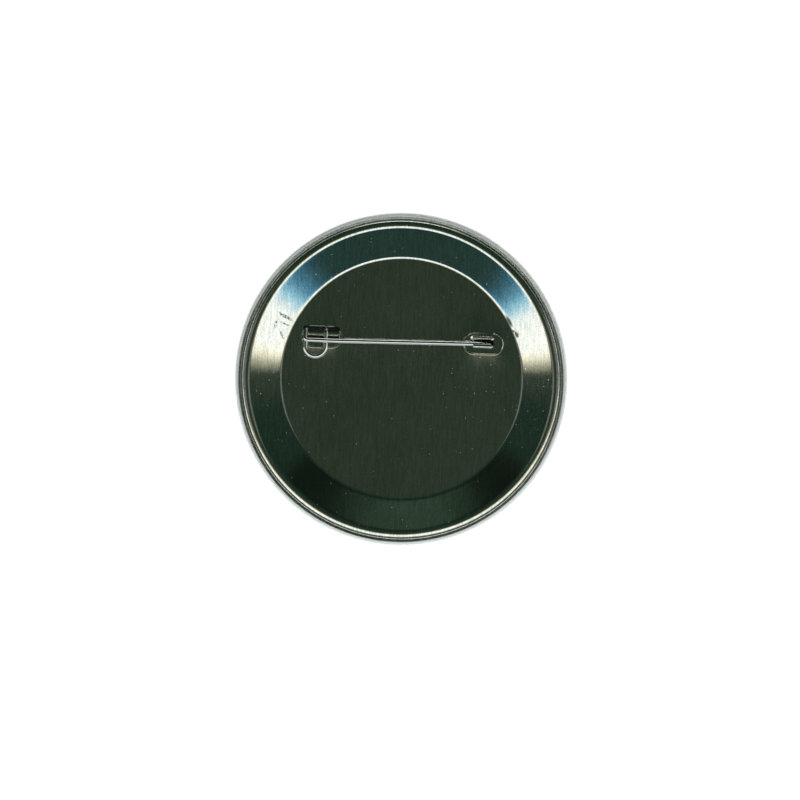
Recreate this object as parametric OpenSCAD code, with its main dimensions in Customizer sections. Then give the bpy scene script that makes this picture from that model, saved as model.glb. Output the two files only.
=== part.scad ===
// Pin-back button badge, lying on its face with its back up.
// The origin is at the apex of the domed face, +Z points out of the back,
// +Y is the top of the badge as it is worn, and the pin point is on the +X side.

/* [Badge] */
// Outside diameter over the wrapped film
badge_d = 57.15; // [56:0.05:60]
// Thickness from the apex of the face to the crest of the back rim
badge_h = 7.5; // [7.2:0.1:9]
// Radius of the shallow dome of the face
face_dome_r = 150; // [130:5:250]
// Radius of the rounded edge between the face and the side wall
face_edge_r = 2.2; // [1.6:0.1:2.4]

/* [Sheet] */
// Thickness of the clear film
film_t = 0.08; // [0.06:0.01:0.1]
// Thickness of the printed paper
paper_t = 0.12; // [0.1:0.01:0.13]
// Thickness of the front shell
shell_t = 0.25; // [0.2:0.01:0.26]
// Thickness of the back plate
plate_t = 0.3; // [0.25:0.01:0.32]
// Air left between two nested layers
layer_gap = 0.01; // [0.01:0.005:0.02]

/* [Wrapped edge] */
// Outer radius of the curl that locks the shell over the back plate
curl_r = 0.6; // [0.58:0.01:0.64]
// Height of the curl's centre below the top of the back plate's flange
curl_drop = 0.1; // [0.1:0.01:0.15]

/* [Back plate] */
// Diameter of the flat floor of the recess
floor_d = 41.32; // [40:0.1:42]
// Inside radius of the bend round the floor
floor_bend_r = 0.35; // [0.3:0.05:0.6]
// Angle of the slope that rises from the floor to the rim
slope_a = 33; // [31:0.5:34]
// Distance from the badge's edge in to the crest of the rim bead
crest_inset = 2.1; // [2.05:0.05:2.2]
// Radius of the rim bead on its inner side
bead_in_r = 1.1; // [0.9:0.05:1.2]
// Radius of the rim bead on its outer side
bead_out_r = 0.62; // [0.55:0.01:0.65]
// Radius of the root between the bead and the flange
root_r = 0.18; // [0.15:0.01:0.2]
// Radius of the shoulder where the flange turns down
shoulder_r = 0.4; // [0.4:0.01:0.5]
// Height of the skirt that sits inside the shell
skirt_h = 2; // [1.5:0.1:2.2]

/* [Pressed seats] */
// Length of each pressed oval seat
seat_l = 6.9; // [6.8:0.1:7.2]
// Width of each pressed oval seat
seat_w = 3.7; // [3.7:0.05:4]
// Depth of each seat below the floor
seat_depth = 0.15; // [0.1:0.01:0.2]
// Distance of both seats above the badge's centre
seat_y = 6.62; // [6.6:0.01:6.64]
// Centre of the hinge seat left of the badge's centre
hinge_seat_x = -14; // [-14.05:0.05:-13.95]
// Centre of the clasp seat right of the badge's centre
clasp_seat_x = 13.8; // [13.75:0.05:13.85]

/* [Hinge strap] */
// Centre line of the strap that the wire is wound round
strap_y = 7.17; // [7.14:0.01:7.18]
// Width of the strap
strap_w = 0.62; // [0.56:0.01:0.64]
// Left end of the two slots beside the strap
slot_x0 = -17.3; // [-17.4:0.05:-17.25]
// Right end of the two slots beside the strap
slot_x1 = -10.95; // [-11.75:0.1:-10.75]
// Width of each slot
slot_w = 0.95; // [0.92:0.01:0.96]

/* [Pin wire] */
// Diameter of the wire
wire_d = 0.8; // [0.72:0.01:0.8]
// Radius of the winding round the strap, at the wire's centre
winding_r = 0.8; // [0.79:0.01:0.81]
// Tilt of the winding's free end, which is also the pivot's tilt
pivot_tilt = 33; // [32:0.5:34]
// Length of the straight stub from the pin's corner to the pivot joint
stub_l = 1.3; // [1.2:0.05:1.5]
// Left leg of the loop
leg_x = -16.77; // [-16.79:0.01:-16.74]
// Distance between the loop's two legs
leg_pitch = 3.45; // [3.4:0.01:3.5]
// Lowest point of the loop, at the wire's centre
loop_y = 3.25; // [3.1:0.05:3.35]
// Height of the loop's wire above the floor, at its centre
leg_lift = 0.42; // [0.41:0.01:0.44]
// Distance from the strap's centre line to the line of the pin
pin_drop = 1.08; // [1.07:0.01:1.09]
// Radius of the corner at the hinge end of the pin
corner_r = 0.5; // [0.45:0.05:0.6]
// Distance from the hinge leg to the slight bend in the pin
bend_at = 4.6; // [4.4:0.1:5]
// Angle of that bend
bend_a = 1.2; // [1:0.1:1.3]
// Radius of that bend
bend_r = 12; // [10:1:20]
// Length of the straight round shank between the bend and the point
shank_l = 23.6; // [23.3:0.1:23.6]
// Length of the first, blunt part of the point
taper_l = 2.1; // [1.9:0.1:2.2]
// Length of the last, sharp part of the point
point_l = 1.4; // [1.2:0.1:1.5]
// Diameter where the two parts of the point meet
taper_d = 0.48; // [0.4:0.02:0.5]
// Diameter of the very tip
tip_d = 0.08; // [0.06:0.01:0.12]

/* [Clasp] */
// Thickness of the clasp's hook and bar
clasp_t = 0.24; // [0.2:0.01:0.25]
// Left end of the hook
hook_x0 = 12.15; // [12.05:0.05:12.25]
// Length of the hook
hook_l = 3.4; // [3.2:0.1:3.5]
// Outer face of the hook
hook_y = 5.94; // [5.88:0.01:5.95]
// Free edge of the hook
hook_edge_y = 6.66; // [6.6:0.01:6.68]
// Underside of the hook above the pin's centre line
hook_over = 0.84; // [0.82:0.01:0.9]
// Outer radius of the hook's bend
hook_bend_r = 0.34; // [0.3:0.01:0.36]
// Left end of the bar
bar_x0 = 11.6; // [11.55:0.05:11.75]
// Length of the bar
bar_l = 3.95; // [3.6:0.05:4]
// Centre line of the bar
bar_y = 7.6; // [7.6:0.01:7.64]
// Width of the bar
bar_w = 0.74; // [0.7:0.01:0.76]
// Top of the bar above the floor
bar_top = 1.2; // [1:0.05:1.3]

/* [Hidden] */
$fn = 48;

badge_r = badge_d / 2;
wire_r = wire_d / 2;

// Depth of each wrapped layer below the film's outer surface
paper_in = film_t + layer_gap;
shell_in = paper_in + paper_t + layer_gap;
wrap_t = shell_in + shell_t;

// Face: a dome that rolls into a straight side wall
edge_c_r = badge_r - face_edge_r;
edge_c_z = face_dome_r - sqrt(pow(face_dome_r - face_edge_r, 2) - pow(edge_c_r, 2));
edge_a = atan2(edge_c_z - face_dome_r, edge_c_r);

// Back plate: floor, slope, bead, flange and skirt
floor_r = floor_d / 2;
crest_r = badge_r - crest_inset;
slope_top_r = crest_r - bead_in_r * sin(slope_a);
slope_top_z = badge_h - bead_in_r * (1 - cos(slope_a));
slope_foot_r = floor_r + floor_bend_r * sin(slope_a);
slope_foot_z = slope_top_z - (slope_top_r - slope_foot_r) * tan(slope_a);
floor_z = slope_foot_z - floor_bend_r * (1 - cos(slope_a));
bead_end_a = 10;
root_c_r = crest_r + (bead_out_r + root_r) * cos(bead_end_a);
root_c_z = badge_h - bead_out_r + (bead_out_r + root_r) * sin(bead_end_a);
flange_z = root_c_z - root_r;
skirt_clear = 0.025;
skirt_r = badge_r - wrap_t - skirt_clear;

// Curl of the shell, with paper and film hemmed round the shell's edge
curl_c_r = badge_r - curl_r;
curl_c_z = flange_z - curl_drop;
curl_inner_r = curl_r - wrap_t;
hem_mean_r = (curl_r + curl_inner_r) / 2;
hem_gap_a = 1;
shell_end_a = 94;
paper_hem_a = shell_end_a + hem_gap_a;
paper_end_a = paper_hem_a + paper_t / hem_mean_r * 180 / PI;
film_hem_a = paper_end_a + hem_gap_a;
film_end_a = film_hem_a + film_t / hem_mean_r * 180 / PI;

// Hinge: the wire is wound once round the strap
seat_z = floor_z - seat_depth;
winding_z = seat_z - plate_t / 2;
pin_y = strap_y - pin_drop;
pin_rise = (winding_r + sin(pivot_tilt) * (strap_y - pin_y)) / cos(pivot_tilt);
pin_z = winding_z + pin_rise;
incline_l = sin(pivot_tilt) * pin_rise + cos(pivot_tilt) * (strap_y - pin_y);
loop_r = leg_pitch / 2;
leg_z = floor_z + leg_lift;
leg_bend_r = leg_z - winding_z;
right_leg_x = leg_x + leg_pitch;
tail_end_z = floor_z - 1.1;

// Cuts through the floor run past both faces
through = 1;
// The shank starts this far inside the bend, so that the two join
weld = 0.01;

function arc_points(c, r, a0, a1, n, first = 0) =
    [for (i = [first:n]) let (a = a0 + (a1 - a0) * i / n) c + r * [cos(a), sin(a)]];

function reversed(points) = [for (i = [len(points) - 1:-1:0]) points[i]];

// Line of a wrapped layer at depth d, from the face's apex to angle end_a round the curl
function wrap_line(d, end_a) = concat(
    arc_points([0, face_dome_r], face_dome_r - d, -90, edge_a, 14),
    arc_points([edge_c_r, edge_c_z], face_edge_r - d, edge_a, 0, 8, 1),
    arc_points([curl_c_r, curl_c_z], curl_r - d, 0, end_a, 9)
);

// Section of a layer that is hemmed round the edges of the layers under it
function hemmed_section(d, t, hem_a, end_a) = concat(
    wrap_line(d, end_a),
    arc_points([curl_c_r, curl_c_z], curl_inner_r, end_a, hem_a, 3),
    reversed(wrap_line(d + t, hem_a))
);

// Line of the back plate at depth d below its outer surface
function plate_line(d) = concat(
    [[0, floor_z - d]],
    arc_points([floor_r, floor_z + floor_bend_r], floor_bend_r + d, -90, slope_a - 90, 5),
    arc_points([crest_r, badge_h - bead_in_r], bead_in_r - d, 90 + slope_a, 90, 6),
    arc_points([crest_r, badge_h - bead_out_r], bead_out_r - d, 90, bead_end_a, 8, 1),
    arc_points([root_c_r, root_c_z], root_r + d, 180 + bead_end_a, 270, 5, 1),
    arc_points([skirt_r - shoulder_r, flange_z - shoulder_r], shoulder_r - d, 90, 0, 6),
    [[skirt_r - d, flange_z - skirt_h]]
);

module oval(x, y, l, w, z0, z1) {
    for (side = [-1, 1])
        translate([x + side * (l - w) / 2, y, z0]) cylinder(d = w, h = z1 - z0);
    translate([x - (l - w) / 2, y - w / 2, z0]) cube([l - w, w, z1 - z0]);
}

// A bend of the wire that starts at angle a0 round its centre and turns through sweep
module wire_bend(r, a0, sweep) {
    rotate([0, 0, a0]) rotate_extrude(angle = sweep) translate([r, 0]) circle(r = wire_r);
}

// The same bend, standing in the plane of one leg
module upright_bend(c, r, a0, sweep) {
    translate(c) rotate([90, 0, 90]) wire_bend(r, a0, sweep);
}

module slot(y) {
    oval((slot_x0 + slot_x1) / 2, y, slot_x1 - slot_x0, slot_w,
        seat_z - plate_t - through, floor_z + through);
}

module bar_form(w, top) {
    for (x = [bar_x0 + bar_w / 2, bar_x0 + bar_l - bar_w / 2]) {
        translate([x, bar_y, seat_z - plate_t]) cylinder(d = w, h = top - w / 2 - seat_z + plate_t);
        translate([x, bar_y, top - w / 2]) sphere(d = w);
    }
    translate([bar_x0 + bar_w / 2, bar_y - w / 2, seat_z - plate_t])
        cube([bar_l - bar_w, w, top - w / 2 - seat_z + plate_t]);
    translate([bar_x0 + bar_w / 2, bar_y, top - w / 2])
        rotate([0, 90, 0]) cylinder(d = w, h = bar_l - bar_w);
}

// Section of the hook: a wall that rolls over into a short lip above the pin
module hook_section() {
    lip_top = pin_z + hook_over + clasp_t;
    inner_r = hook_bend_r - clasp_t;
    translate([hook_y, seat_z - plate_t])
        square([clasp_t, lip_top - hook_bend_r - seat_z + plate_t]);
    translate([hook_y + hook_bend_r, lip_top - clasp_t])
        square([hook_edge_y - hook_y - hook_bend_r, clasp_t]);
    intersection() {
        translate([hook_y + hook_bend_r, lip_top - hook_bend_r]) difference() {
            circle(r = hook_bend_r);
            circle(r = inner_r);
        }
        translate([hook_y, lip_top - hook_bend_r]) square(hook_bend_r);
    }
}

module clear_film() {
    color([0.9, 0.94, 0.96, 0.45])
        rotate_extrude($fn = 96) polygon(hemmed_section(0, film_t, film_hem_a, film_end_a));
}

module artwork_disc() {
    color("white")
        rotate_extrude($fn = 96)
            polygon(hemmed_section(paper_in, paper_t, paper_hem_a, paper_end_a));
}

module front_shell() {
    color("silver")
        rotate_extrude($fn = 96)
            polygon(concat(wrap_line(shell_in, shell_end_a), reversed(wrap_line(wrap_t, shell_end_a))));
}

module back_plate() {
    color([0.62, 0.64, 0.6]) {
        difference() {
            union() {
                rotate_extrude($fn = 96) polygon(concat(plate_line(0), reversed(plate_line(plate_t))));
                for (x = [hinge_seat_x, clasp_seat_x])
                    oval(x, seat_y, seat_l, seat_w, seat_z - plate_t, seat_z);
            }
            for (x = [hinge_seat_x, clasp_seat_x])
                oval(x, seat_y, seat_l, seat_w, seat_z, floor_z + through);
            slot(strap_y + (strap_w + slot_w) / 2);
            slot(strap_y - (strap_w + slot_w) / 2);
            translate([hook_x0, hook_y + clasp_t, seat_z - plate_t - through])
                cube([hook_l, bar_y - bar_w / 2 - hook_y - clasp_t, plate_t + 2 * through]);
            bar_form(bar_w - 2 * clasp_t, floor_z + bar_top - clasp_t);
        }
        difference() {
            bar_form(bar_w, floor_z + bar_top);
            bar_form(bar_w - 2 * clasp_t, floor_z + bar_top - clasp_t);
        }
        translate([hook_x0, 0, 0]) rotate([90, 0, 90]) linear_extrude(hook_l) hook_section();
    }
}

module pin_anchor() {
    color([0.72, 0.75, 0.74]) {
        translate([leg_x, pin_y, pin_z]) rotate([-pivot_tilt, 0, 0])
            translate([0, stub_l, 0]) rotate([-90, 0, 0]) cylinder(r = wire_r, h = incline_l - stub_l);
        upright_bend([leg_x, strap_y, winding_z], winding_r, -180, 270 - pivot_tilt);
        upright_bend([leg_x, strap_y - winding_r - leg_bend_r, winding_z], leg_bend_r, 0, 90);
        translate([leg_x, strap_y - winding_r - leg_bend_r, leg_z]) rotate([90, 0, 0])
            cylinder(r = wire_r, h = strap_y - winding_r - leg_bend_r - loop_y - loop_r);
        translate([leg_x + loop_r, loop_y + loop_r, leg_z]) wire_bend(loop_r, 180, 180);
        translate([right_leg_x, loop_y + loop_r, leg_z]) rotate([-90, 0, 0])
            cylinder(r = wire_r, h = strap_y - loop_y - loop_r);
        upright_bend([right_leg_x, strap_y, leg_z - winding_r], winding_r, 0, 90);
        translate([right_leg_x, strap_y + winding_r, tail_end_z])
            cylinder(r = wire_r, h = leg_z - winding_r - tail_end_z);
    }
}

module pin_shank() {
    color([0.78, 0.8, 0.8]) {
        translate([leg_x, pin_y, pin_z]) {
            rotate([-pivot_tilt, 0, 0]) {
                translate([0, corner_r, 0]) rotate([-90, 0, 0])
                    cylinder(r = wire_r, h = stub_l - corner_r);
                translate([corner_r, corner_r, 0]) wire_bend(corner_r, 180, 90);
            }
            translate([corner_r, 0, 0]) rotate([0, 90, 0])
                cylinder(r = wire_r, h = bend_at - corner_r);
            translate([bend_at, bend_r, 0]) wire_bend(bend_r, -90, bend_a);
            translate([bend_at + bend_r * sin(bend_a), bend_r * (1 - cos(bend_a)), 0])
                rotate([0, 90, bend_a]) {
                    translate([0, 0, -weld]) cylinder(r = wire_r, h = shank_l + weld);
                    translate([0, 0, shank_l]) cylinder(d1 = wire_d, d2 = taper_d, h = taper_l);
                    translate([0, 0, shank_l + taper_l])
                        cylinder(d1 = taper_d, d2 = tip_d, h = point_l);
                }
        }
    }
}

clear_film();
artwork_disc();
front_shell();
back_plate();
pin_anchor();
pin_shank();
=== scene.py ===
import math
import random

import bmesh
import bpy
from mathutils import Matrix, Vector
from mathutils.geometry import delaunay_2d_cdt


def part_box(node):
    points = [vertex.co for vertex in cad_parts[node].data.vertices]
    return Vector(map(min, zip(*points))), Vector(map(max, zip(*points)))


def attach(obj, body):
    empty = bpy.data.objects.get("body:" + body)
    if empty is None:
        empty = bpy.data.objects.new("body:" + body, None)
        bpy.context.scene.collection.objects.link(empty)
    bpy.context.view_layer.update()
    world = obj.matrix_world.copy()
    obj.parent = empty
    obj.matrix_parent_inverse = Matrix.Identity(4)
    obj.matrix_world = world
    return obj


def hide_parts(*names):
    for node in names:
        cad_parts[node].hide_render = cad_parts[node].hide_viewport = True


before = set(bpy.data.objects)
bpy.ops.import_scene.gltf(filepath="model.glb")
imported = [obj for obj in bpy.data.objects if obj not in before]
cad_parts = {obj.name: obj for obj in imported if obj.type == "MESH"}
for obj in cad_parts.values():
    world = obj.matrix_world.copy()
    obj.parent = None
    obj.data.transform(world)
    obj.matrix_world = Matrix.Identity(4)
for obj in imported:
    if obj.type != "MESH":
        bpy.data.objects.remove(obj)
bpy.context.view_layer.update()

# Lengths below are in millimetres in the CAD frame; a mesh is scaled by MM when it is made.
MM = 0.001
BADGE_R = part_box("clear_film")[1].x / MM
BADGE_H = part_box("back_plate")[1].z / MM

# Sheets and the air between them
FILM_T = 0.08
PAPER_T = 0.12
SHELL_T = 0.25
PLATE_T = 0.3
LAYER_GAP = 0.01
PAPER_IN = FILM_T + LAYER_GAP
SHELL_IN = PAPER_IN + PAPER_T + LAYER_GAP
WRAP_T = SHELL_IN + SHELL_T

# Face and side wall
FACE_DOME_R = 150
FACE_EDGE_R = 2.2
EDGE_C_R = BADGE_R - FACE_EDGE_R
EDGE_C_Z = FACE_DOME_R - math.sqrt((FACE_DOME_R - FACE_EDGE_R) ** 2 - EDGE_C_R**2)
EDGE_A = math.degrees(math.atan2(EDGE_C_Z - FACE_DOME_R, EDGE_C_R))

# Back plate: floor, slope, rim bead, flange and skirt
FLOOR_R = 20.66
FLOOR_BEND_R = 0.35
SLOPE_A = 33
CREST_R = BADGE_R - 2.1
BEAD_IN_R = 1.1
BEAD_OUT_R = 0.62
BEAD_END_A = 10
ROOT_R = 0.18
SHOULDER_R = 0.4
SKIRT_H = 2
SKIRT_R = BADGE_R - WRAP_T - 0.025
SLOPE_RAD = math.radians(SLOPE_A)
SLOPE_TOP_R = CREST_R - BEAD_IN_R * math.sin(SLOPE_RAD)
SLOPE_TOP_Z = BADGE_H - BEAD_IN_R * (1 - math.cos(SLOPE_RAD))
SLOPE_FOOT_R = FLOOR_R + FLOOR_BEND_R * math.sin(SLOPE_RAD)
SLOPE_FOOT_Z = SLOPE_TOP_Z - (SLOPE_TOP_R - SLOPE_FOOT_R) * math.tan(SLOPE_RAD)
FLOOR_Z = SLOPE_FOOT_Z - FLOOR_BEND_R * (1 - math.cos(SLOPE_RAD))
ROOT_C_R = CREST_R + (BEAD_OUT_R + ROOT_R) * math.cos(math.radians(BEAD_END_A))
ROOT_C_Z = BADGE_H - BEAD_OUT_R + (BEAD_OUT_R + ROOT_R) * math.sin(math.radians(BEAD_END_A))
FLANGE_Z = ROOT_C_Z - ROOT_R

# The floor's bend as drawn, wider than the modelled one and between the same two faces
DRAWN_BEND_R = 1.0
DRAWN_FLOOR_R = FLOOR_R - (DRAWN_BEND_R - FLOOR_BEND_R) * math.tan(SLOPE_RAD / 2)

# The bead's outer side as drawn: a wide shoulder, then a tight turn down into the root
SHOULDER_OUT_R, SHOULDER_OUT_A = 1.4, 25
TURN_R = 0.3

# Curl of the shell, with the paper and the film hemmed round the shell's edge
CURL_R = 0.6
CURL_C_R = BADGE_R - CURL_R
CURL_C_Z = FLANGE_Z - 0.1
CURL_INNER_R = CURL_R - WRAP_T
HEM_MEAN_R = (CURL_R + CURL_INNER_R) / 2
SHELL_END_A = 78
PAPER_HEM_A = SHELL_END_A + 1
PAPER_END_A = PAPER_HEM_A + math.degrees(PAPER_T / HEM_MEAN_R)
FILM_HEM_A = PAPER_END_A + 1
FILM_END_A = FILM_HEM_A + math.degrees(FILM_T / HEM_MEAN_R)

# Pressed seats, hinge strap and slots
SEAT_L, SEAT_W, SEAT_DEPTH, SEAT_Y = 6.9, 3.7, 0.15, 6.62
HINGE_SEAT_X, CLASP_SEAT_X = -14, 13.8
SEAT_Z = FLOOR_Z - SEAT_DEPTH
STRAP_Y, STRAP_W = 7.17, 0.62
SLOT_X0, SLOT_X1, SLOT_W = -17.3, -10.95, 0.95

# Pin wire
WIRE_R = 0.4
WINDING_R = 0.8
PIVOT_TILT = math.radians(33)
STUB_L = 1.3
LEG_X, LEG_PITCH = -16.77, 3.45
LOOP_Y = 3.25
PIN_Y = STRAP_Y - 1.08
CORNER_R = 0.5
BEND_AT, BEND_A, BEND_R = 4.6, 1.2, 12
SHANK_L, TAPER_L, POINT_L = 23.6, 2.1, 1.4
TAPER_R, TIP_R = 0.24, 0.04
WINDING_Z = SEAT_Z - PLATE_T / 2
PIN_RISE = (WINDING_R + math.sin(PIVOT_TILT) * (STRAP_Y - PIN_Y)) / math.cos(PIVOT_TILT)
PIN_Z = WINDING_Z + PIN_RISE
INCLINE_L = math.sin(PIVOT_TILT) * PIN_RISE + math.cos(PIVOT_TILT) * (STRAP_Y - PIN_Y)
LOOP_R = LEG_PITCH / 2
LEG_Z = FLOOR_Z + 0.42
LEG_BEND_R = LEG_Z - WINDING_Z

# Clasp
CLASP_T = 0.24
HOOK_X0, HOOK_L, HOOK_Y, HOOK_EDGE_Y = 12.15, 3.4, 5.94, 6.66
HOOK_OVER, HOOK_BEND_R = 0.84, 0.34
BAR_X0, BAR_L, BAR_Y, BAR_W, BAR_TOP = 11.6, 3.95, 7.6, 0.74, 1.2


def arc(c, r, a0, a1, n, first=0):
    """Points on an arc round c from angle a0 to a1, in degrees."""
    out = []
    for i in range(first, n + 1):
        a = math.radians(a0 + (a1 - a0) * i / n)
        out.append((c[0] + r * math.cos(a), c[1] + r * math.sin(a)))
    return out


def line(a, b, n):
    """n - 1 points inside the stretch from a to b."""
    return [tuple(p + (q - p) * i / n for p, q in zip(a, b)) for i in range(1, n)]


# ---------------------------------------------------------------- meshes

def finish_mesh(bm, name, sharp=40):
    """Makes a smooth-shaded object of bm, whose units are millimetres."""
    bmesh.ops.remove_doubles(bm, verts=bm.verts, dist=1e-4)
    bmesh.ops.recalc_face_normals(bm, faces=bm.faces)
    bm.transform(Matrix.Scale(MM, 4))
    mesh = bpy.data.meshes.new(name)
    bm.to_mesh(mesh)
    bm.free()
    mesh.shade_smooth()
    mesh.set_sharp_from_angle(angle=math.radians(sharp))
    piece = bpy.data.objects.new(name, mesh)
    bpy.context.scene.collection.objects.link(piece)
    return piece


def lathe(bm, outline, steps, warp=None):
    """Revolves an outline of (radius, height) points; warp(r, z, angle) may move a point."""
    rings = []
    for r, z in outline:
        if r < 1e-6:
            rings.append([bm.verts.new((0, 0, z))] * steps)
            continue
        ring = []
        for i in range(steps):
            a = 2 * math.pi * i / steps
            rr, zz = warp(r, z, a) if warp else (r, z)
            ring.append(bm.verts.new((rr * math.cos(a), rr * math.sin(a), zz)))
        rings.append(ring)
    for low, high in zip(rings, rings[1:]):
        for i in range(steps):
            j = (i + 1) % steps
            corners = [low[i], low[j], high[j], high[i]]
            corners = [v for k, v in enumerate(corners) if v not in corners[:k]]
            if len(corners) > 2:
                bm.faces.new(corners)


def wrap_line(d, end_a):
    """Line of a wrapped layer at depth d, from the face's apex round the curl to end_a."""
    dome = arc((0, FACE_DOME_R), FACE_DOME_R - d, -90, EDGE_A, 24)
    dome[0] = (0, d)
    edge = arc((EDGE_C_R, EDGE_C_Z), FACE_EDGE_R - d, EDGE_A, 0, 12, 1)
    curl = arc((CURL_C_R, CURL_C_Z), CURL_R - d, 0, end_a, 16)
    return dome + edge + line(edge[-1], curl[0], 5) + curl


def hemmed_outline(d, t, hem_a, end_a):
    """Outline of a layer that is hemmed round the edges of the layers under it."""
    hem = arc((CURL_C_R, CURL_C_Z), CURL_INNER_R, end_a, hem_a, 4)
    return wrap_line(d, end_a) + hem + wrap_line(d + t, hem_a)[::-1]


def pleat_field(count, seed):
    """Depth of the wrapped edge's small pleats against the angle round the badge."""
    rng = random.Random(seed)
    pleats = []
    for i in range(count):
        at = 2 * math.pi * (i + rng.uniform(-0.38, 0.38)) / count
        pleats.append((at, rng.uniform(0.006, 0.014), rng.uniform(0.25, 1.0)))

    def depth(a):
        total = 0
        for at, width, strength in pleats:
            off = (a - at + math.pi) % (2 * math.pi) - math.pi
            if abs(off) < 4 * width:
                total += strength * math.exp(-((off / width) ** 2))
        return min(total, 1)

    return depth


# The pleats start this far below the curl's centre and reach their full depth over this rise
PLEAT_DEPTH, PLEAT_BELOW, PLEAT_RISE = 0.055, 0.9, 1.2
PLEAT_COUNT, PLEAT_SEED = 78, 5
pleat = pleat_field(PLEAT_COUNT, PLEAT_SEED)


def pleated(r, z, a):
    """Pulls the wrapped edge in along its pleats, more towards the curl's free edge."""
    reach = min(max((z - (CURL_C_Z - PLEAT_BELOW)) / PLEAT_RISE, 0), 1)
    if reach == 0:
        return r, z
    pull = PLEAT_DEPTH * pleat(a) * reach * reach * (3 - 2 * reach)
    out_r, out_z = r - CURL_C_R, max(z - CURL_C_Z, 0)
    away = math.hypot(out_r, out_z)
    if away < 1e-6:
        return r, z
    keep = 1 - pull / max(away, 0.2)
    return CURL_C_R + out_r * keep, (CURL_C_Z + out_z * keep if z > CURL_C_Z else z)


def wrapped_layer(name, outline, steps, warp=None):
    bm = bmesh.new()
    lathe(bm, outline, steps, warp)
    return finish_mesh(bm, name)


# A slight ridge on the flange, just inside the curl's free edge: radius, height
RIM_LIP = [(27.3, FLANGE_Z + 0.01), (27.34, FLANGE_Z + 0.035), (27.38, FLANGE_Z + 0.05),
           (27.42, FLANGE_Z + 0.044), (27.46, FLANGE_Z + 0.031), (27.5, FLANGE_Z + 0.013),
           (27.54, FLANGE_Z - 0.008), (27.58, FLANGE_Z - 0.04), (27.65, FLANGE_Z - 0.09)]


def plate_line(d):
    """Line of the back plate at depth d, from the edge of its floor to the end of its skirt."""
    bend = arc((DRAWN_FLOOR_R, FLOOR_Z + DRAWN_BEND_R), DRAWN_BEND_R + d, -90, SLOPE_A - 90, 10)
    bead_in = arc((CREST_R, BADGE_H - BEAD_IN_R), BEAD_IN_R - d, 90 + SLOPE_A, 90, 14)
    out_c = (CREST_R, BADGE_H - SHOULDER_OUT_R)
    bead_out = arc(out_c, SHOULDER_OUT_R - d, 90, 90 - SHOULDER_OUT_A, 10, 1)
    lean = math.radians(SHOULDER_OUT_A)
    turn_c = (CREST_R + (SHOULDER_OUT_R - TURN_R) * math.sin(lean),
              BADGE_H - SHOULDER_OUT_R + (SHOULDER_OUT_R - TURN_R) * math.cos(lean))
    bead_out += arc(turn_c, TURN_R - d, 90 - SHOULDER_OUT_A, BEAD_END_A, 10, 1)
    root = arc((ROOT_C_R, ROOT_C_Z), ROOT_R + d, 180 + BEAD_END_A, 262, 8, 1)
    lip = [(r, z - d) for r, z in RIM_LIP]
    shoulder_c = (SKIRT_R - SHOULDER_R, FLANGE_Z - SHOULDER_R)
    shoulder = arc(shoulder_c, SHOULDER_R - d, 78, 0, 8)
    slope = line(bend[-1], bead_in[0], 12)
    return bend + slope + bead_in + bead_out + root + lip + shoulder + [(SKIRT_R - d, FLANGE_Z - SKIRT_H)]


def oval_loop(x, y, l, w, grow=0, n=20):
    """Points round an oval of length l and width w, moved out by grow."""
    r, half = w / 2 + grow, (l - w) / 2
    right = arc((x + half, y), r, -90, 90, n)
    left = arc((x - half, y), r, 90, 270, n)
    return right + left


def box_loop(x0, x1, y0, y1, r, n=5):
    """Points round a rectangle with corners of radius r."""
    return (
        arc((x1 - r, y0 + r), r, -90, 0, n)
        + arc((x1 - r, y1 - r), r, 0, 90, n)
        + arc((x0 + r, y1 - r), r, 90, 180, n)
        + arc((x0 + r, y0 + r), r, 180, 270, n)
    )


def oval_distance(x, y, cx, l, w):
    """Distance outside an oval seat, negative inside it."""
    half = (l - w) / 2
    return math.hypot(max(abs(x - cx) - half, 0), y - SEAT_Y) - w / 2


# Section across a pressed seat's edge: distance outside the edge, height above the floor
SEAT_EDGE = [(0.16, 0), (0.11, 0.01), (0.06, 0.022), (0.02, 0.018), (-0.02, -0.02),
             (-0.06, -0.075), (-0.1, -0.125), (-0.14, -0.145), (-0.18, -0.15)]


# The strap is slightly crowned across its width
STRAP_CROWN = 0.07
STRAP_LINES = (0.1, 0.26, 0.42, 0.55)


def strap_height(x, y):
    """Height of the strap's crown above the seat."""
    off = abs(y - STRAP_Y) / (STRAP_W / 2)
    if off >= 1 or not SLOT_X0 < x < SLOT_X1:
        return 0
    return STRAP_CROWN * (1 - off * off)


def seat_height(x, y):
    """Height of the plate above its flat floor, where the two seats are pressed in."""
    height = 0
    for cx in (HINGE_SEAT_X, CLASP_SEAT_X):
        d = oval_distance(x, y, cx, SEAT_L, SEAT_W)
        if d >= SEAT_EDGE[0][0]:
            continue
        if d <= SEAT_EDGE[-1][0]:
            return strap_height(x, y) - SEAT_DEPTH
        for (d0, h0), (d1, h1) in zip(SEAT_EDGE, SEAT_EDGE[1:]):
            if d1 <= d <= d0:
                height = h1 + (h0 - h1) * (d - d1) / (d0 - d1)
    return height


def inside(point, loop):
    """True if a point lies inside a closed loop."""
    x, y = point
    hit = False
    for (x0, y0), (x1, y1) in zip(loop, loop[1:] + loop[:1]):
        if (y0 > y) != (y1 > y) and x < x0 + (y - y0) * (x1 - x0) / (y1 - y0):
            hit = not hit
    return hit


def slot_loop(y):
    return oval_loop((SLOT_X0 + SLOT_X1) / 2, y, SLOT_X1 - SLOT_X0, SLOT_W, n=10)


PLATE_STEPS = 360


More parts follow.
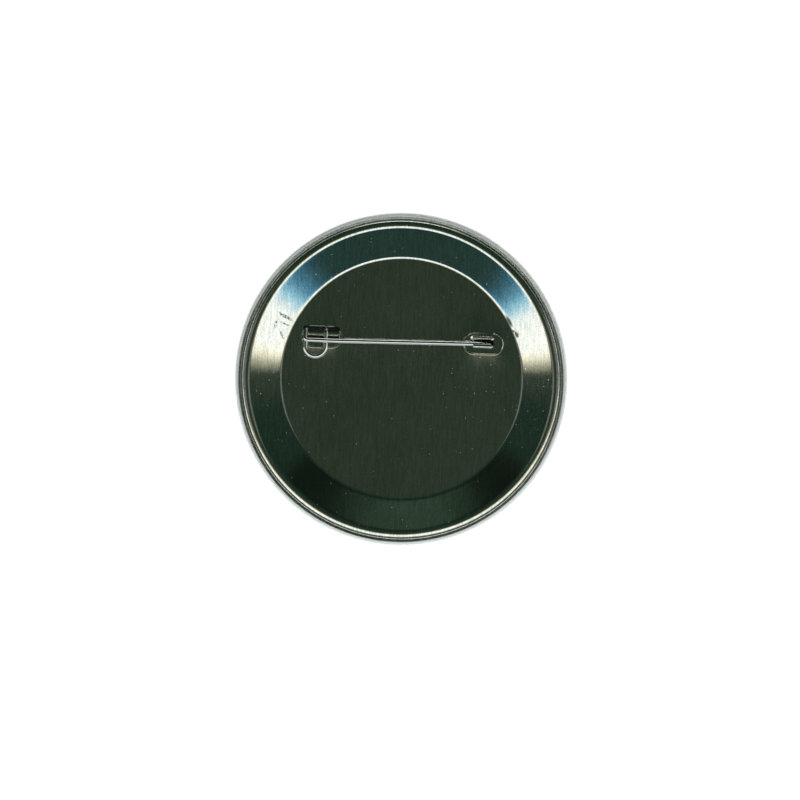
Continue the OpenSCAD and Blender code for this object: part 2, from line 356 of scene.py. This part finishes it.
def plate_floor(bm):
    """The plate's flat floor as a sheet, with its pressed seats, slots and clasp window."""
    slots = [slot_loop(STRAP_Y + side * (STRAP_W + SLOT_W) / 2) for side in (-1, 1)]
    window = box_loop(HOOK_X0, HOOK_X0 + HOOK_L, HOOK_Y + CLASP_T, BAR_Y - BAR_W / 2, 0.12)
    holes = slots + [window]
    rim = [
        (DRAWN_FLOOR_R * math.cos(a), DRAWN_FLOOR_R * math.sin(a))
        for a in (2 * math.pi * i / PLATE_STEPS for i in range(PLATE_STEPS))
    ]
    creases = [
        oval_loop(cx, SEAT_Y, SEAT_L, SEAT_W, grow)
        for cx in (HINGE_SEAT_X, CLASP_SEAT_X)
        for grow, _ in SEAT_EDGE
    ]
    creases += [
        oval_loop((SLOT_X0 + SLOT_X1) / 2, STRAP_Y, SLOT_X1 - SLOT_X0 - 0.1, width, n=8)
        for width in STRAP_LINES
    ]
    points, edges = [], []
    for loop in [rim] + creases + holes:
        first = len(points)
        points += [Vector(p) for p in loop]
        edges += [(first + i, first + (i + 1) % len(loop)) for i in range(len(loop))]
    made = delaunay_2d_cdt(points, edges, [], 0, 1e-6)
    flat, faces = made[0], made[2]
    heights = [FLOOR_Z + seat_height(p.x, p.y) for p in flat]
    sheets = []
    for depth in (0, PLATE_T):
        sheets.append([bm.verts.new((p.x, p.y, h - depth)) for p, h in zip(flat, heights)])
    border = {}
    for face in faces:
        centre = sum((flat[i] for i in face), Vector((0, 0))) / len(face)
        if centre.length > DRAWN_FLOOR_R or any(inside(centre, hole) for hole in holes):
            continue
        bm.faces.new([sheets[0][i] for i in face])
        bm.faces.new([sheets[1][i] for i in reversed(face)])
        for i, j in zip(face, face[1:] + face[:1]):
            key = (min(i, j), max(i, j))
            border[key] = border.get(key, 0) + 1
    for (i, j), uses in border.items():
        if uses == 1 and min(flat[i].length, flat[j].length) < DRAWN_FLOOR_R - 0.05:
            bm.faces.new([sheets[0][i], sheets[0][j], sheets[1][j], sheets[1][i]])
    for v in [v for sheet in sheets for v in sheet if not v.link_faces]:
        bm.verts.remove(v)


def loft(bm, rings):
    """A closed solid through rings of the same number of points."""
    made = [[bm.verts.new(p) for p in ring] for ring in rings]
    for low, high in zip(made, made[1:]):
        for i in range(len(low)):
            j = (i + 1) % len(low)
            bm.faces.new([low[i], low[j], high[j], high[i]])
    bm.faces.new(made[0][::-1])
    bm.faces.new(made[-1])


def clasp_bar(bm):
    """The raised bar beside the pin: a pressed bead that starts low at its left end."""
    root = SEAT_Z - PLATE_T / 2
    top = FLOOR_Z + BAR_TOP
    levels = [(0.1, SEAT_Z - 0.02), (0.06, SEAT_Z + 0.03), (0.02, SEAT_Z + 0.09), (0, SEAT_Z + 0.18)]
    half = BAR_W / 2
    dome = [(half * (math.cos(a) - 1), top - half + half * math.sin(a))
            for a in (math.radians(q) for q in range(0, 90, 9))]
    rings = []
    for grow, z in [(0, root)] + levels + [(0, top - half - 0.2)] + dome + [(0.02 - half, top)]:
        ring = []
        for x, y in oval_loop(BAR_X0 + BAR_L / 2, BAR_Y, BAR_L, BAR_W, grow, 14):
            rise = min(max((x - BAR_X0 + 0.1) / 1.5, 0), 1)
            share = 0.35 + 0.65 * rise * rise * (3 - 2 * rise)
            ring.append((x, y, SEAT_Z + (z - SEAT_Z) * share if z > SEAT_Z else z))
        rings.append(ring)
    loft(bm, rings)


def clasp_hook(bm):
    """The hook: a tongue bent up out of the plate and rolled over into a lip above the pin."""
    lip_top = PIN_Z + HOOK_OVER + CLASP_T
    c = (HOOK_Y + HOOK_BEND_R, lip_top - HOOK_BEND_R)
    outer = arc(c, HOOK_BEND_R, 180, 90, 10)
    inner = arc(c, HOOK_BEND_R - CLASP_T, 90, 180, 6)
    edge_c = (HOOK_EDGE_Y - CLASP_T / 2, lip_top - CLASP_T / 2)
    lip = arc(edge_c, CLASP_T / 2, 90, -90, 8)
    root = SEAT_Z - PLATE_T
    section = [(HOOK_Y, root)] + line((HOOK_Y, root), outer[0], 4) + outer + lip + inner
    section += line(inner[-1], (HOOK_Y + CLASP_T, root), 4) + [(HOOK_Y + CLASP_T, root)]
    left_end = [(0, 0.07), (0.03, 0.03), (0.08, 0), (0.2, 0), (0.35, 0), (0.5, 0)]
    right_end = [(0.5, 0), (0.36, 0.02), (0.26, 0.08), (0.17, 0.19), (0.1, 0.33), (0.04, 0.52), (0, 0.74)]
    stations = left_end + [(1.2, 0), (2.2, 0)] + [(HOOK_L - at, shrink) for at, shrink in right_end]
    mean = [sum(p[k] for p in section) / len(section) for k in (0, 1)]
    rings = []
    for along, shrink in stations:
        ring = []
        for y, z in section:
            rounding = 0
            if y > c[0] and z > c[1]:
                off_end = max(0.5 - along, along - HOOK_L + 0.5, 0) / 0.5
                rounding = 0.2 * off_end**2 * (y - c[0]) / (HOOK_EDGE_Y - c[0])
            drawn_y = y - rounding - shrink * (y - mean[0])
            ring.append((HOOK_X0 + along, drawn_y, z - shrink * (z - mean[1]) * 0.3))
        rings.append(ring)
    loft(bm, rings)


def back_plate():
    bm = bmesh.new()
    plate_floor(bm)
    lathe(bm, plate_line(0) + plate_line(PLATE_T)[::-1], PLATE_STEPS)
    clasp_bar(bm)
    clasp_hook(bm)
    return finish_mesh(bm, "tinplate_back", 35)


def arc3(c, u, v, r, a0, a1, n):
    """Points on an arc in space, in the plane of the directions u and v."""
    return [c + r * (math.cos(a) * u + math.sin(a) * v)
            for a in (math.radians(a0 + (a1 - a0) * i / n) for i in range(n + 1))]


def tube(bm, path, radii, sides=28):
    """A round wire along path, with its end faces closed."""
    ahead = path[1:] + path[-1:]
    behind = path[:1] + path[:-1]
    tangents = [(b - a).normalized() for a, b in zip(behind, ahead)]
    across = tangents[0].orthogonal().normalized()
    rings = []
    for p, t, r in zip(path, tangents, radii):
        across = (across - across.dot(t) * t).normalized()
        other = t.cross(across)
        rings.append([
            bm.verts.new(p + r * (math.cos(a) * across + math.sin(a) * other))
            for a in (2 * math.pi * i / sides for i in range(sides))
        ])
    for low, high in zip(rings, rings[1:]):
        for i in range(sides):
            j = (i + 1) % sides
            bm.faces.new([low[i], low[j], high[j], high[i]])
    bm.faces.new(rings[0][::-1])
    bm.faces.new(rings[-1])


X, Y, Z = Vector((1, 0, 0)), Vector((0, 1, 0)), Vector((0, 0, 1))
PIN_CORNER = Vector((LEG_X, PIN_Y, PIN_Z))
STUB_DIR = Vector((0, math.cos(PIVOT_TILT), -math.sin(PIVOT_TILT)))


def even(points, step=0.25):
    """Adds points along the straight stretches, so that no ring of a tube is far from the next."""
    out = [points[0]]
    for a, b in zip(points, points[1:]):
        gap = (b - a).length
        if gap < 1e-6:
            continue
        n = max(1, round(gap / step))
        out += [a.lerp(b, i / n) for i in range(1, n + 1)]
    return out


def pin_anchor():
    """The fixed end of the wire: wound once round the strap, then a flat loop back to it."""
    winding_c = Vector((LEG_X, STRAP_Y, WINDING_Z))
    rise_y = STRAP_Y - WINDING_R - LEG_BEND_R
    right_x = LEG_X + LEG_PITCH
    path = [PIN_CORNER + STUB_DIR * STUB_L, PIN_CORNER + STUB_DIR * INCLINE_L]
    path += arc3(winding_c, Y, Z, WINDING_R, 90 - math.degrees(PIVOT_TILT), -180, 30)
    path += arc3(Vector((LEG_X, rise_y, WINDING_Z)), Y, Z, LEG_BEND_R, 0, 90, 12)
    path += arc3(Vector((LEG_X + LOOP_R, LOOP_Y + LOOP_R, LEG_Z)), X, Y, LOOP_R, 180, 360, 36)
    path += arc3(Vector((right_x, STRAP_Y, LEG_Z - WINDING_R)), Y, Z, WINDING_R, 90, 0, 12)
    path.append(Vector((right_x, STRAP_Y + WINDING_R, FLOOR_Z - 1.1)))
    path = even(path)
    bm = bmesh.new()
    tube(bm, path, [WIRE_R] * len(path))
    return finish_mesh(bm, "wire_anchor", 50)


def pin_shank():
    """The moving end of the wire: a stub on the pivot, the corner, the shank and its point."""
    corner_c = PIN_CORNER + CORNER_R * (STUB_DIR + X)
    bend_c = PIN_CORNER + Vector((BEND_AT, BEND_R, 0))
    path = [PIN_CORNER + STUB_DIR * STUB_L]
    path += arc3(corner_c, X, STUB_DIR, CORNER_R, 180, 270, 14)
    path += arc3(bend_c, X, Y, BEND_R, -90, BEND_A - 90, 3)
    along = Vector((math.cos(math.radians(BEND_A)), math.sin(math.radians(BEND_A)), 0))
    start = path[-1]
    path.append(start + along * SHANK_L)
    path = even(path)
    radii = [WIRE_R] * len(path)
    for share in (0.04, 0.12, 0.25, 0.4, 0.55, 0.7, 0.85, 1):
        path.append(start + along * (SHANK_L + TAPER_L * share))
        radii.append(WIRE_R + (TAPER_R - WIRE_R) * share ** 1.6)
    for share in (0.2, 0.4, 0.6, 0.8, 0.94, 1):
        path.append(start + along * (SHANK_L + TAPER_L + POINT_L * share))
        radii.append(TAPER_R + (TIP_R - TAPER_R) * share)
    radii[-1] = TIP_R * 0.5
    bm = bmesh.new()
    tube(bm, path, radii)
    return finish_mesh(bm, "wire_shank", 50)


# ---------------------------------------------------------------- materials

class Nodes:
    """Short calls for building a node tree."""

    def __init__(self, tree):
        self.tree = tree
        tree.nodes.clear()

    def add(self, kind, inputs=None, **settings):
        made = self.tree.nodes.new(kind)
        for key, value in settings.items():
            setattr(made, key, value)
        for key, value in (inputs or {}).items():
            if isinstance(value, bpy.types.NodeSocket):
                self.tree.links.new(value, made.inputs[key])
            else:
                made.inputs[key].default_value = value
        return made

    def math(self, operation, a, b=0.0, c=0.0, clamp=False):
        made = self.add("ShaderNodeMath", {0: a, 1: b, 2: c}, operation=operation, use_clamp=clamp)
        return made.outputs[0]

    def mix(self, share, a, b):
        made = self.add("ShaderNodeMix", {0: share}, data_type="RGBA")
        for key, value in ((6, a), (7, b)):
            if isinstance(value, bpy.types.NodeSocket):
                self.tree.links.new(value, made.inputs[key])
            else:
                made.inputs[key].default_value = (*value, 1)
        return made.outputs[2]

    def ramp(self, value, stops, interpolation="LINEAR"):
        """A colour ramp; stops are (position, colour or grey)."""
        made = self.add("ShaderNodeValToRGB", {0: value})
        made.color_ramp.interpolation = interpolation
        points = made.color_ramp.elements
        while len(points) < len(stops):
            points.new(1)
        for point, (at, colour) in zip(points, stops):
            point.position = at
            point.color = (*colour, 1) if hasattr(colour, "__len__") else (colour, colour, colour, 1)
        return made.outputs[0]

    def place(self, scale=(1, 1, 1), turn=(0, 0, 0)):
        """Position on the part in millimetres, scaled after it is turned."""
        where = self.add("ShaderNodeTexCoord").outputs["Object"]
        turned = self.add("ShaderNodeMapping", {"Vector": where, "Rotation": turn}, vector_type="POINT")
        size = tuple(s / MM for s in scale)
        return self.add("ShaderNodeMapping", {"Vector": turned.outputs[0], "Scale": size}).outputs[0]

    def noise(self, scale, turn=(0, 0, 0), detail=3.0, rough=0.55, distort=0.0):
        inputs = {"Vector": self.place(scale, turn), "Scale": 1.0, "Detail": detail,
                  "Roughness": rough, "Distortion": distort}
        return self.add("ShaderNodeTexNoise", inputs).outputs["Fac"]

    def bump(self, height, depth_mm, normal=None):
        inputs = {"Height": height, "Distance": depth_mm * MM, "Strength": 1.0}
        if normal is not None:
            inputs["Normal"] = normal
        return self.add("ShaderNodeBump", inputs).outputs[0]

    def output(self, shader):
        self.add("ShaderNodeOutputMaterial", {"Surface": shader})


def new_material(name):
    made = bpy.data.materials.new(name)
    made.use_nodes = True
    return made, Nodes(made.node_tree)


def scratches(n, turn, fine, length, keep):
    """Thin random lines: the crests of noise stretched along one direction."""
    streak = n.noise((1 / length, fine, fine), (0, 0, math.radians(turn)), detail=2.0, rough=0.4)
    return n.ramp(streak, [(keep, 0.0), (keep + 0.03, 1.0), (keep + 0.06, 0.0)])


def blot(n, x, y, length, width, turn):
    """1 inside an ellipse at (x, y), fading to 0 at its edge."""
    off = n.add("ShaderNodeVectorMath", {0: n.place(), 1: (x, y, 0)}, operation="SUBTRACT").outputs[0]
    turned = n.add("ShaderNodeMapping", {"Vector": off, "Rotation": (0, 0, -math.radians(turn))}).outputs[0]
    sized = n.add("ShaderNodeMapping", {"Vector": turned, "Scale": (2 / length, 2 / width, 0)}).outputs[0]
    far = n.add("ShaderNodeVectorMath", {0: sized}, operation="LENGTH").outputs["Value"]
    return n.ramp(far, [(0.45, 1.0), (1.0, 0.0)])


# Rubbed marks on the slope: x, y, length, width, turn in degrees
DASH = (-20.4, 9.9, 3.4, 0.7, -30)
SMALL_DASHES = ((-21.9, 8.5, 0.55, 2.3, -12), (-20.9, 6.7, 0.5, 2.2, 24), (-20.4, 8.6, 2.2, 0.4, -24))
DARK_SPOTS = ((18.1, 10.6, 2.7, 0.75, -57), (18.8, 9.0, 0.7, 0.4, -50))


def scuffs(n):
    """Rubbed marks on the slope: dashes on the left, dark spots on the right."""
    broken = n.ramp(n.noise((3.2, 3.2, 3.2), detail=2.0), [(0.42, 0.0), (0.5, 1.0)])
    dashes = blot(n, *DASH)
    for mark in SMALL_DASHES:
        dashes = n.math("MAXIMUM", dashes, n.math("MULTIPLY", blot(n, *mark), 0.8))
    dashes = n.math("MULTIPLY", dashes, broken)
    spots = n.math("MAXIMUM", *(blot(n, *mark) for mark in DARK_SPOTS))
    return n.math("MAXIMUM", n.math("MULTIPLY", dashes, 0.9), n.math("MULTIPLY", spots, 0.9))


def tinplate(name, tint_a, tint_b, rough, worn=True):
    """Bright rolled tinplate: fine rolling lines, hair scratches, dull specks and faint staining."""
    made, n = new_material(name)
    lines = n.noise((6.0, 0.16, 0.16), detail=4.0, rough=0.7)
    streaks = n.noise((3.4, 0.34, 0.34), detail=4.0, rough=0.7)
    grain = n.noise((4.5, 3.5, 4.5), detail=3.0, rough=0.7)
    cloud = n.noise((0.11, 0.08, 0.11), detail=4.0, rough=0.6)
    grime = n.noise((0.9, 0.7, 0.9), detail=6.0, rough=0.7)
    hairs = n.math("MAXIMUM", scratches(n, 62, 5.0, 7.0, 0.69), scratches(n, -23, 6.0, 9.0, 0.70))
    hairs = n.math("MAXIMUM", hairs, scratches(n, 101, 4.0, 12.0, 0.69))
    spots = n.add("ShaderNodeTexVoronoi",
                  {"Vector": n.place((1.5, 1.2, 1.5)), "Scale": 1.0, "Randomness": 1.0})
    dot = n.ramp(spots.outputs["Distance"], [(0.09, 1.0), (0.17, 0.0)])
    pick = n.add("ShaderNodeSeparateColor", {0: spots.outputs["Color"]}).outputs[0]
    dot = n.math("MULTIPLY", dot, n.ramp(pick, [(0.72, 0.0), (0.86, 0.6)]))
    wear = n.math("MAXIMUM", n.math("MULTIPLY", hairs, 0.14), dot)
    tone = n.math("MULTIPLY_ADD", n.ramp(cloud, [(0.3, 0.0), (0.72, 1.0)]), 0.3, 0.0)
    tone = n.math("MULTIPLY_ADD", n.ramp(streaks, [(0.38, 0.0), (0.62, 1.0)]), 0.4, tone)
    tone = n.math("MULTIPLY_ADD", n.ramp(grain, [(0.4, 0.0), (0.6, 1.0)]), 0.35, tone, clamp=True)
    base = n.mix(tone, tint_a, tint_b)
    base = n.mix(n.math("MULTIPLY", n.ramp(grime, [(0.52, 0.0), (0.8, 1.0)]), 0.25), base, (0.36, 0.37, 0.33))
    base = n.mix(wear, base, (0.9, 0.91, 0.88))
    value = n.math("MULTIPLY_ADD", lines, rough * 0.5, rough * 0.6)
    value = n.math("MULTIPLY_ADD", wear, 0.35, value)
    value = n.math("MULTIPLY_ADD", grime, rough * 0.4, value, clamp=True)
    normal = n.bump(cloud, 0.015)
    normal = n.bump(streaks, 0.0016, normal)
    normal = n.bump(lines, 0.0012, normal)
    normal = n.bump(wear, 0.004, normal)
    if worn:
        marks = scuffs(n)
        base = n.mix(marks, base, (0.05, 0.075, 0.075))
        value = n.math("MULTIPLY_ADD", marks, 0.3, value, clamp=True)
    shader = n.add("ShaderNodeBsdfPrincipled",
                   {"Base Color": base, "Metallic": 1.0, "Roughness": value, "Normal": normal})
    n.output(shader.outputs[0])
    return made


def plated_wire():
    """Nickel-plated spring wire with drawing lines along it and a little wear."""
    made, n = new_material("nickel_wire")
    drawn = n.noise((0.25, 9.0, 9.0), detail=3.0, rough=0.6)
    cloud = n.noise((0.5, 0.9, 0.9), detail=5.0, rough=0.65)
    pits = n.ramp(n.noise((6.0, 6.0, 6.0), detail=2.0), [(0.7, 0.0), (0.76, 1.0)])
    base = n.mix(n.ramp(cloud, [(0.35, 0.0), (0.7, 1.0)]), (0.70, 0.72, 0.71), (0.82, 0.83, 0.80))
    base = n.mix(n.math("MULTIPLY", pits, 0.4), base, (0.45, 0.44, 0.4))
    value = n.math("MULTIPLY_ADD", drawn, 0.05, 0.05)
    value = n.math("MULTIPLY_ADD", pits, 0.2, value)
    normal = n.bump(pits, 0.002, n.bump(drawn, 0.0015, n.bump(cloud, 0.006)))
    shader = n.add("ShaderNodeBsdfPrincipled",
                   {"Base Color": base, "Metallic": 1.0, "Roughness": value, "Normal": normal})
    n.output(shader.outputs[0])
    return made


def clear_film():
    """Glossy clear polyester: it mirrors a little and shows the paper through."""
    made, n = new_material("clear_polyester")
    ripple = n.noise((0.16, 0.16, 0.16), detail=3.0)
    hairs = n.math("MAXIMUM", scratches(n, 35, 4.0, 9.0, 0.69), scratches(n, -58, 5.0, 6.0, 0.7))
    normal = n.bump(hairs, 0.001, n.bump(ripple, 0.03))
    sheen = n.add("ShaderNodeFresnel", {"IOR": 1.6, "Normal": normal}).outputs[0]
    share = n.math("MULTIPLY_ADD", hairs, 0.05, n.math("ADD", sheen, 0.02), clamp=True)
    front = n.math("SUBTRACT", 1.0, n.add("ShaderNodeNewGeometry").outputs["Backfacing"])
    share = n.math("MULTIPLY", share, front)
    value = n.math("MULTIPLY_ADD", hairs, 0.25, 0.05)
    gloss = n.add("ShaderNodeBsdfPrincipled",
                  {"Base Color": (1, 1, 1, 1), "Metallic": 1.0, "Roughness": value, "Normal": normal})
    clear = n.add("ShaderNodeBsdfTransparent", {"Color": (0.97, 0.98, 0.98, 1)})
    n.output(n.add("ShaderNodeMixShader", {0: share, 1: clear.outputs[0], 2: gloss.outputs[0]}).outputs[0])
    return made


# The print: a round field of dots inside a ring, below this height on the dome
PRINT_TOP = 2.6
FIELD_R, RING_IN_R, RING_OUT_R = 23.2, 23.8, 24.6
DOTS_PER_MM, DOT_SHARE = 0.24, 0.24


def printed_paper():
    """White paper, printed on its face with a plain pattern of dots inside a white border."""
    made, n = new_material("printed_paper")
    place = n.place()
    part = n.add("ShaderNodeSeparateXYZ", {0: place})
    squares = [n.math("POWER", part.outputs[k], 2.0) for k in (0, 1)]
    radius = n.math("SQRT", n.math("ADD", *squares))
    on_face = n.math("LESS_THAN", part.outputs[2], PRINT_TOP)
    field = n.math("MULTIPLY", n.math("LESS_THAN", radius, FIELD_R), on_face)
    ring = n.math("LESS_THAN", radius, RING_OUT_R)
    ring = n.math("MULTIPLY", ring, n.math("GREATER_THAN", radius, RING_IN_R))
    ring = n.math("MULTIPLY", ring, on_face)
    grid = n.place((DOTS_PER_MM, DOTS_PER_MM, 0.0), (0, 0, math.radians(45)))
    spots = n.add("ShaderNodeTexVoronoi", {"Vector": grid, "Scale": 1.0, "Randomness": 0.0},
                  voronoi_dimensions="2D")
    dots = n.math("LESS_THAN", spots.outputs["Distance"], DOT_SHARE)
    fibre = n.noise((2.2, 2.6, 2.2), detail=6.0, rough=0.7)
    mottle = n.noise((0.2, 0.2, 0.2), detail=4.0)
    white = n.mix(fibre, (0.86, 0.865, 0.86), (0.93, 0.93, 0.925))
    ink = n.mix(mottle, (0.03, 0.22, 0.27), (0.045, 0.27, 0.32))
    pattern = n.mix(dots, ink, white)
    base = n.mix(field, white, pattern)
    base = n.mix(ring, base, ink)
    normal = n.bump(fibre, 0.004)
    value = n.math("MULTIPLY_ADD", fibre, 0.2, 0.5)
    shader = n.add("ShaderNodeBsdfPrincipled", {"Base Color": base, "Roughness": value, "Normal": normal})
    n.output(shader.outputs[0])
    return made


def floor_paper():
    made, n = new_material("pale_floor")
    grain = n.noise((0.6, 0.6, 0.6), detail=4.0)
    base = n.mix(grain, (0.118, 0.118, 0.117), (0.126, 0.126, 0.125))
    lit = {"Base Color": base, "Roughness": 0.9, "Specular IOR Level": 0.1,
           "Emission Color": (1, 1, 1, 1), "Emission Strength": 0.955}
    n.output(n.add("ShaderNodeBsdfPrincipled", lit).outputs[0])
    return made


# ---------------------------------------------------------------- the badge

WRAP_STEPS = 720
SHELL_STEPS = 240
film_outline = hemmed_outline(0, FILM_T, FILM_HEM_A, FILM_END_A)
paper_outline = hemmed_outline(PAPER_IN, PAPER_T, PAPER_HEM_A, PAPER_END_A)
shell_outline = wrap_line(SHELL_IN, SHELL_END_A) + wrap_line(WRAP_T, SHELL_END_A)[::-1]
film = wrapped_layer("film_wrap", film_outline, WRAP_STEPS, pleated)
paper = wrapped_layer("paper_wrap", paper_outline, WRAP_STEPS, pleated)
shell = wrapped_layer("shell_pan", shell_outline, SHELL_STEPS)
plate = back_plate()
anchor = pin_anchor()
shank = pin_shank()

steel = tinplate("bright_tinplate", (0.42, 0.45, 0.41), (0.88, 0.88, 0.82), 0.09)
# Painted shade: the front shell's tinplate gets near-black tints so that its inside, seen through the slots
# and the clasp window, reads as a dark hollow
painted_shade_steel = tinplate("painted_shade_tinplate", (0.07, 0.075, 0.07), (0.13, 0.135, 0.12), 0.4, worn=False)
wire = plated_wire()
for piece, finish, node, slot, body in (
    (film, clear_film(), "clear_film", "clear_film", "badge"),
    (paper, printed_paper(), "artwork_disc", "printed_paper", "badge"),
    (shell, painted_shade_steel, "front_shell", "shell_tinplate", "badge"),
    (plate, steel, "back_plate", "bright_tinplate", "badge"),
    (anchor, wire, "pin_anchor", "pin_wire", "badge"),
    (shank, wire, "pin_shank", "pin_wire", "pin"),
):
    piece.data.materials.append(finish)
    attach(piece, body)
    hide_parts(node)


# ---------------------------------------------------------------- floor, light and camera

FLOOR_HALF, FLOOR_GAP = 3000, 0.02


def floor():
    bm = bmesh.new()
    bmesh.ops.create_grid(bm, x_segments=8, y_segments=8, size=FLOOR_HALF)
    bmesh.ops.translate(bm, vec=(0, 0, -FLOOR_GAP), verts=bm.verts)
    made = finish_mesh(bm, "floor")
    made.data.materials.append(floor_paper())


# The badge lies turned by this much in the view, clockwise
ROLL = math.radians(2.5)
LAMP = 1.35
SOFT_LAMP = 8.0
SOFT_LEAN, SOFT_TURN = math.radians(46), math.radians(6)
SOFT_SIZE, SOFT_AWAY = (3.0, 0.5), 1.2


# Tones of the strip lamp: a cream near edge, a white middle and a blue far edge
BLACK, WHITE = (0, 0, 0), (1, 1, 1)
CREAM, DIM_CREAM = (1, 0.92, 0.75), (0.35, 0.33, 0.25)
BLUE, DEEP_BLUE = (0.25, 0.6, 0.85), (0.05, 0.2, 0.35)
STRIP = [(12, BLACK), (20, DIM_CREAM), (27, CREAM), (32, WHITE), (50, WHITE),
         (54.5, BLUE), (57, DEEP_BLUE), (62, BLACK)]
# Tones of the dark room: overhead, below the lamp, and the opposite side with a shaded band across it
OVERHEAD, LAMP_WALL = (0.035, 0.051, 0.034), (0.02, 0.05, 0.04)
HIGH_WALL, LOW_WALL, SHADE = (0.016, 0.036, 0.025), (0.04, 0.074, 0.048), (0.007, 0.013, 0.008)
ROOM = [(-62, LOW_WALL), (-58, SHADE), (-50, SHADE), (-46, HIGH_WALL), (-20, HIGH_WALL),
        (0, OVERHEAD), (60, LAMP_WALL)]


def angle_stops(stops):
    """Stops at angles from -90 to 90 degrees, as shares of a ramp."""
    return [((a + 90) / 180, colour) for a, colour in stops]


def studio():
    """A long soft strip lamp towards -Y, in a dark room with a pale horizon."""
    world = bpy.data.worlds.new("studio")
    world.use_nodes = True
    bpy.context.scene.world = world
    n = Nodes(world.node_tree)
    way = n.add("ShaderNodeTexCoord").outputs["Generated"]
    way = n.add("ShaderNodeMapping", {"Vector": way, "Rotation": (0, 0, -ROLL)}).outputs[0]
    part = n.add("ShaderNodeSeparateXYZ", {0: way})
    x, y, z = part.outputs[0], part.outputs[1], part.outputs[2]
    lean = n.math("ARCTAN2", n.math("MULTIPLY", y, -1.0), z)
    lean = n.math("MULTIPLY_ADD", lean, 1 / math.pi, 0.5, clamp=True)
    strip = n.ramp(lean, angle_stops(STRIP))
    room = n.ramp(lean, angle_stops(ROOM))
    high = n.ramp(z, [(0.03, 0.0), (0.28, 1.0)], "EASE")
    lamp = n.add("ShaderNodeMix", {0: 1.0, 6: strip, 7: high},
                 data_type="RGBA", blend_type="MULTIPLY").outputs[2]
    low = n.ramp(z, [(0.02, 0.3), (0.1, 1.0), (0.2, 1.0), (0.28, 0.0)], "EASE")
    across = n.math("ABSOLUTE", x)
    windows = n.math("MULTIPLY_ADD", n.ramp(y, [(0.9, 0.0), (0.97, 1.0)]), 3.2, 0.55)
    windows = n.math("MULTIPLY_ADD", n.ramp(across, [(0.9, 0.0), (0.96, 1.0)]), 1.9, windows)
    sides = n.ramp(across, [(0.25, 0.0), (0.42, 0.15), (0.7, 0.15), (0.82, 0.0)], "EASE")
    sides = n.math("MULTIPLY", sides, n.ramp(n.math("ABSOLUTE", y), [(0.14, 1.0), (0.26, 0.0)], "EASE"))
    glow = n.math("MULTIPLY_ADD", low, windows, sides)
    soft = n.add("ShaderNodeMix", {0: 1.0, 6: room, 7: glow}, data_type="RGBA", blend_type="ADD").outputs[2]
    bright = n.add("ShaderNodeBackground", {"Color": lamp, "Strength": LAMP})
    dim = n.add("ShaderNodeBackground", {"Color": soft, "Strength": 1.0})
    both = n.add("ShaderNodeAddShader", {0: bright.outputs[0], 1: dim.outputs[0]})
    n.add("ShaderNodeOutputWorld", {"Surface": both.outputs[0]})


def soft_lamp():
    """A broad lamp on the same side as the strip, for the paper; the metal does not mirror it."""
    data = bpy.data.lights.new("soft_lamp", "AREA")
    data.shape = "RECTANGLE"
    data.size, data.size_y = SOFT_SIZE
    data.energy = SOFT_LAMP
    made = bpy.data.objects.new("soft_lamp", data)
    bpy.context.scene.collection.objects.link(made)
    toward = Matrix.Rotation(SOFT_TURN, 3, "Z") @ Vector((0, -math.sin(SOFT_LEAN), math.cos(SOFT_LEAN)))
    made.location = toward * SOFT_AWAY
    made.rotation_euler = (SOFT_LEAN, 0, SOFT_TURN)
    made.visible_glossy = False
    made.visible_camera = False


# The badge fills this share of the picture's width and sits a little above its middle
BADGE_SHARE = 0.4156
PICTURE_W = BADGE_R * 2 / BADGE_SHARE
BADGE_RIGHT = 0.0019 * PICTURE_W
BADGE_UP = 0.0267 * PICTURE_W
LENS, SENSOR = 300, 36
# Height that the view is centred on, as a share of the badge's
VIEW_HEIGHT = 0.57
# The view leans this much off the badge's axis, towards the upper right of the picture
VIEW_LEAN, VIEW_LEAN_TO = math.radians(4), math.radians(50)


def camera():
    data = bpy.data.cameras.new("camera")
    data.lens, data.sensor_width = LENS, SENSOR
    data.clip_end = 10
    made = bpy.data.objects.new("camera", data)
    bpy.context.scene.collection.objects.link(made)
    right = Vector((math.cos(ROLL), math.sin(ROLL), 0))
    up = Vector((-math.sin(ROLL), math.cos(ROLL), 0))
    lean_to = right * math.cos(VIEW_LEAN_TO) + up * math.sin(VIEW_LEAN_TO)
    back = lean_to * math.sin(VIEW_LEAN) + Z * math.cos(VIEW_LEAN)
    side = (right - right.dot(back) * back).normalized()
    top = back.cross(side)
    target = Z * BADGE_H * VIEW_HEIGHT - side * BADGE_RIGHT - top * BADGE_UP
    spot = (target + back * PICTURE_W * LENS / SENSOR) * MM
    made.matrix_world = Matrix.Translation(spot) @ Matrix((side, top, back)).transposed().to_4x4()
    bpy.context.scene.camera = made


floor()
studio()
soft_lamp()
camera()
bpy.context.scene.view_settings.view_transform = "Standard"
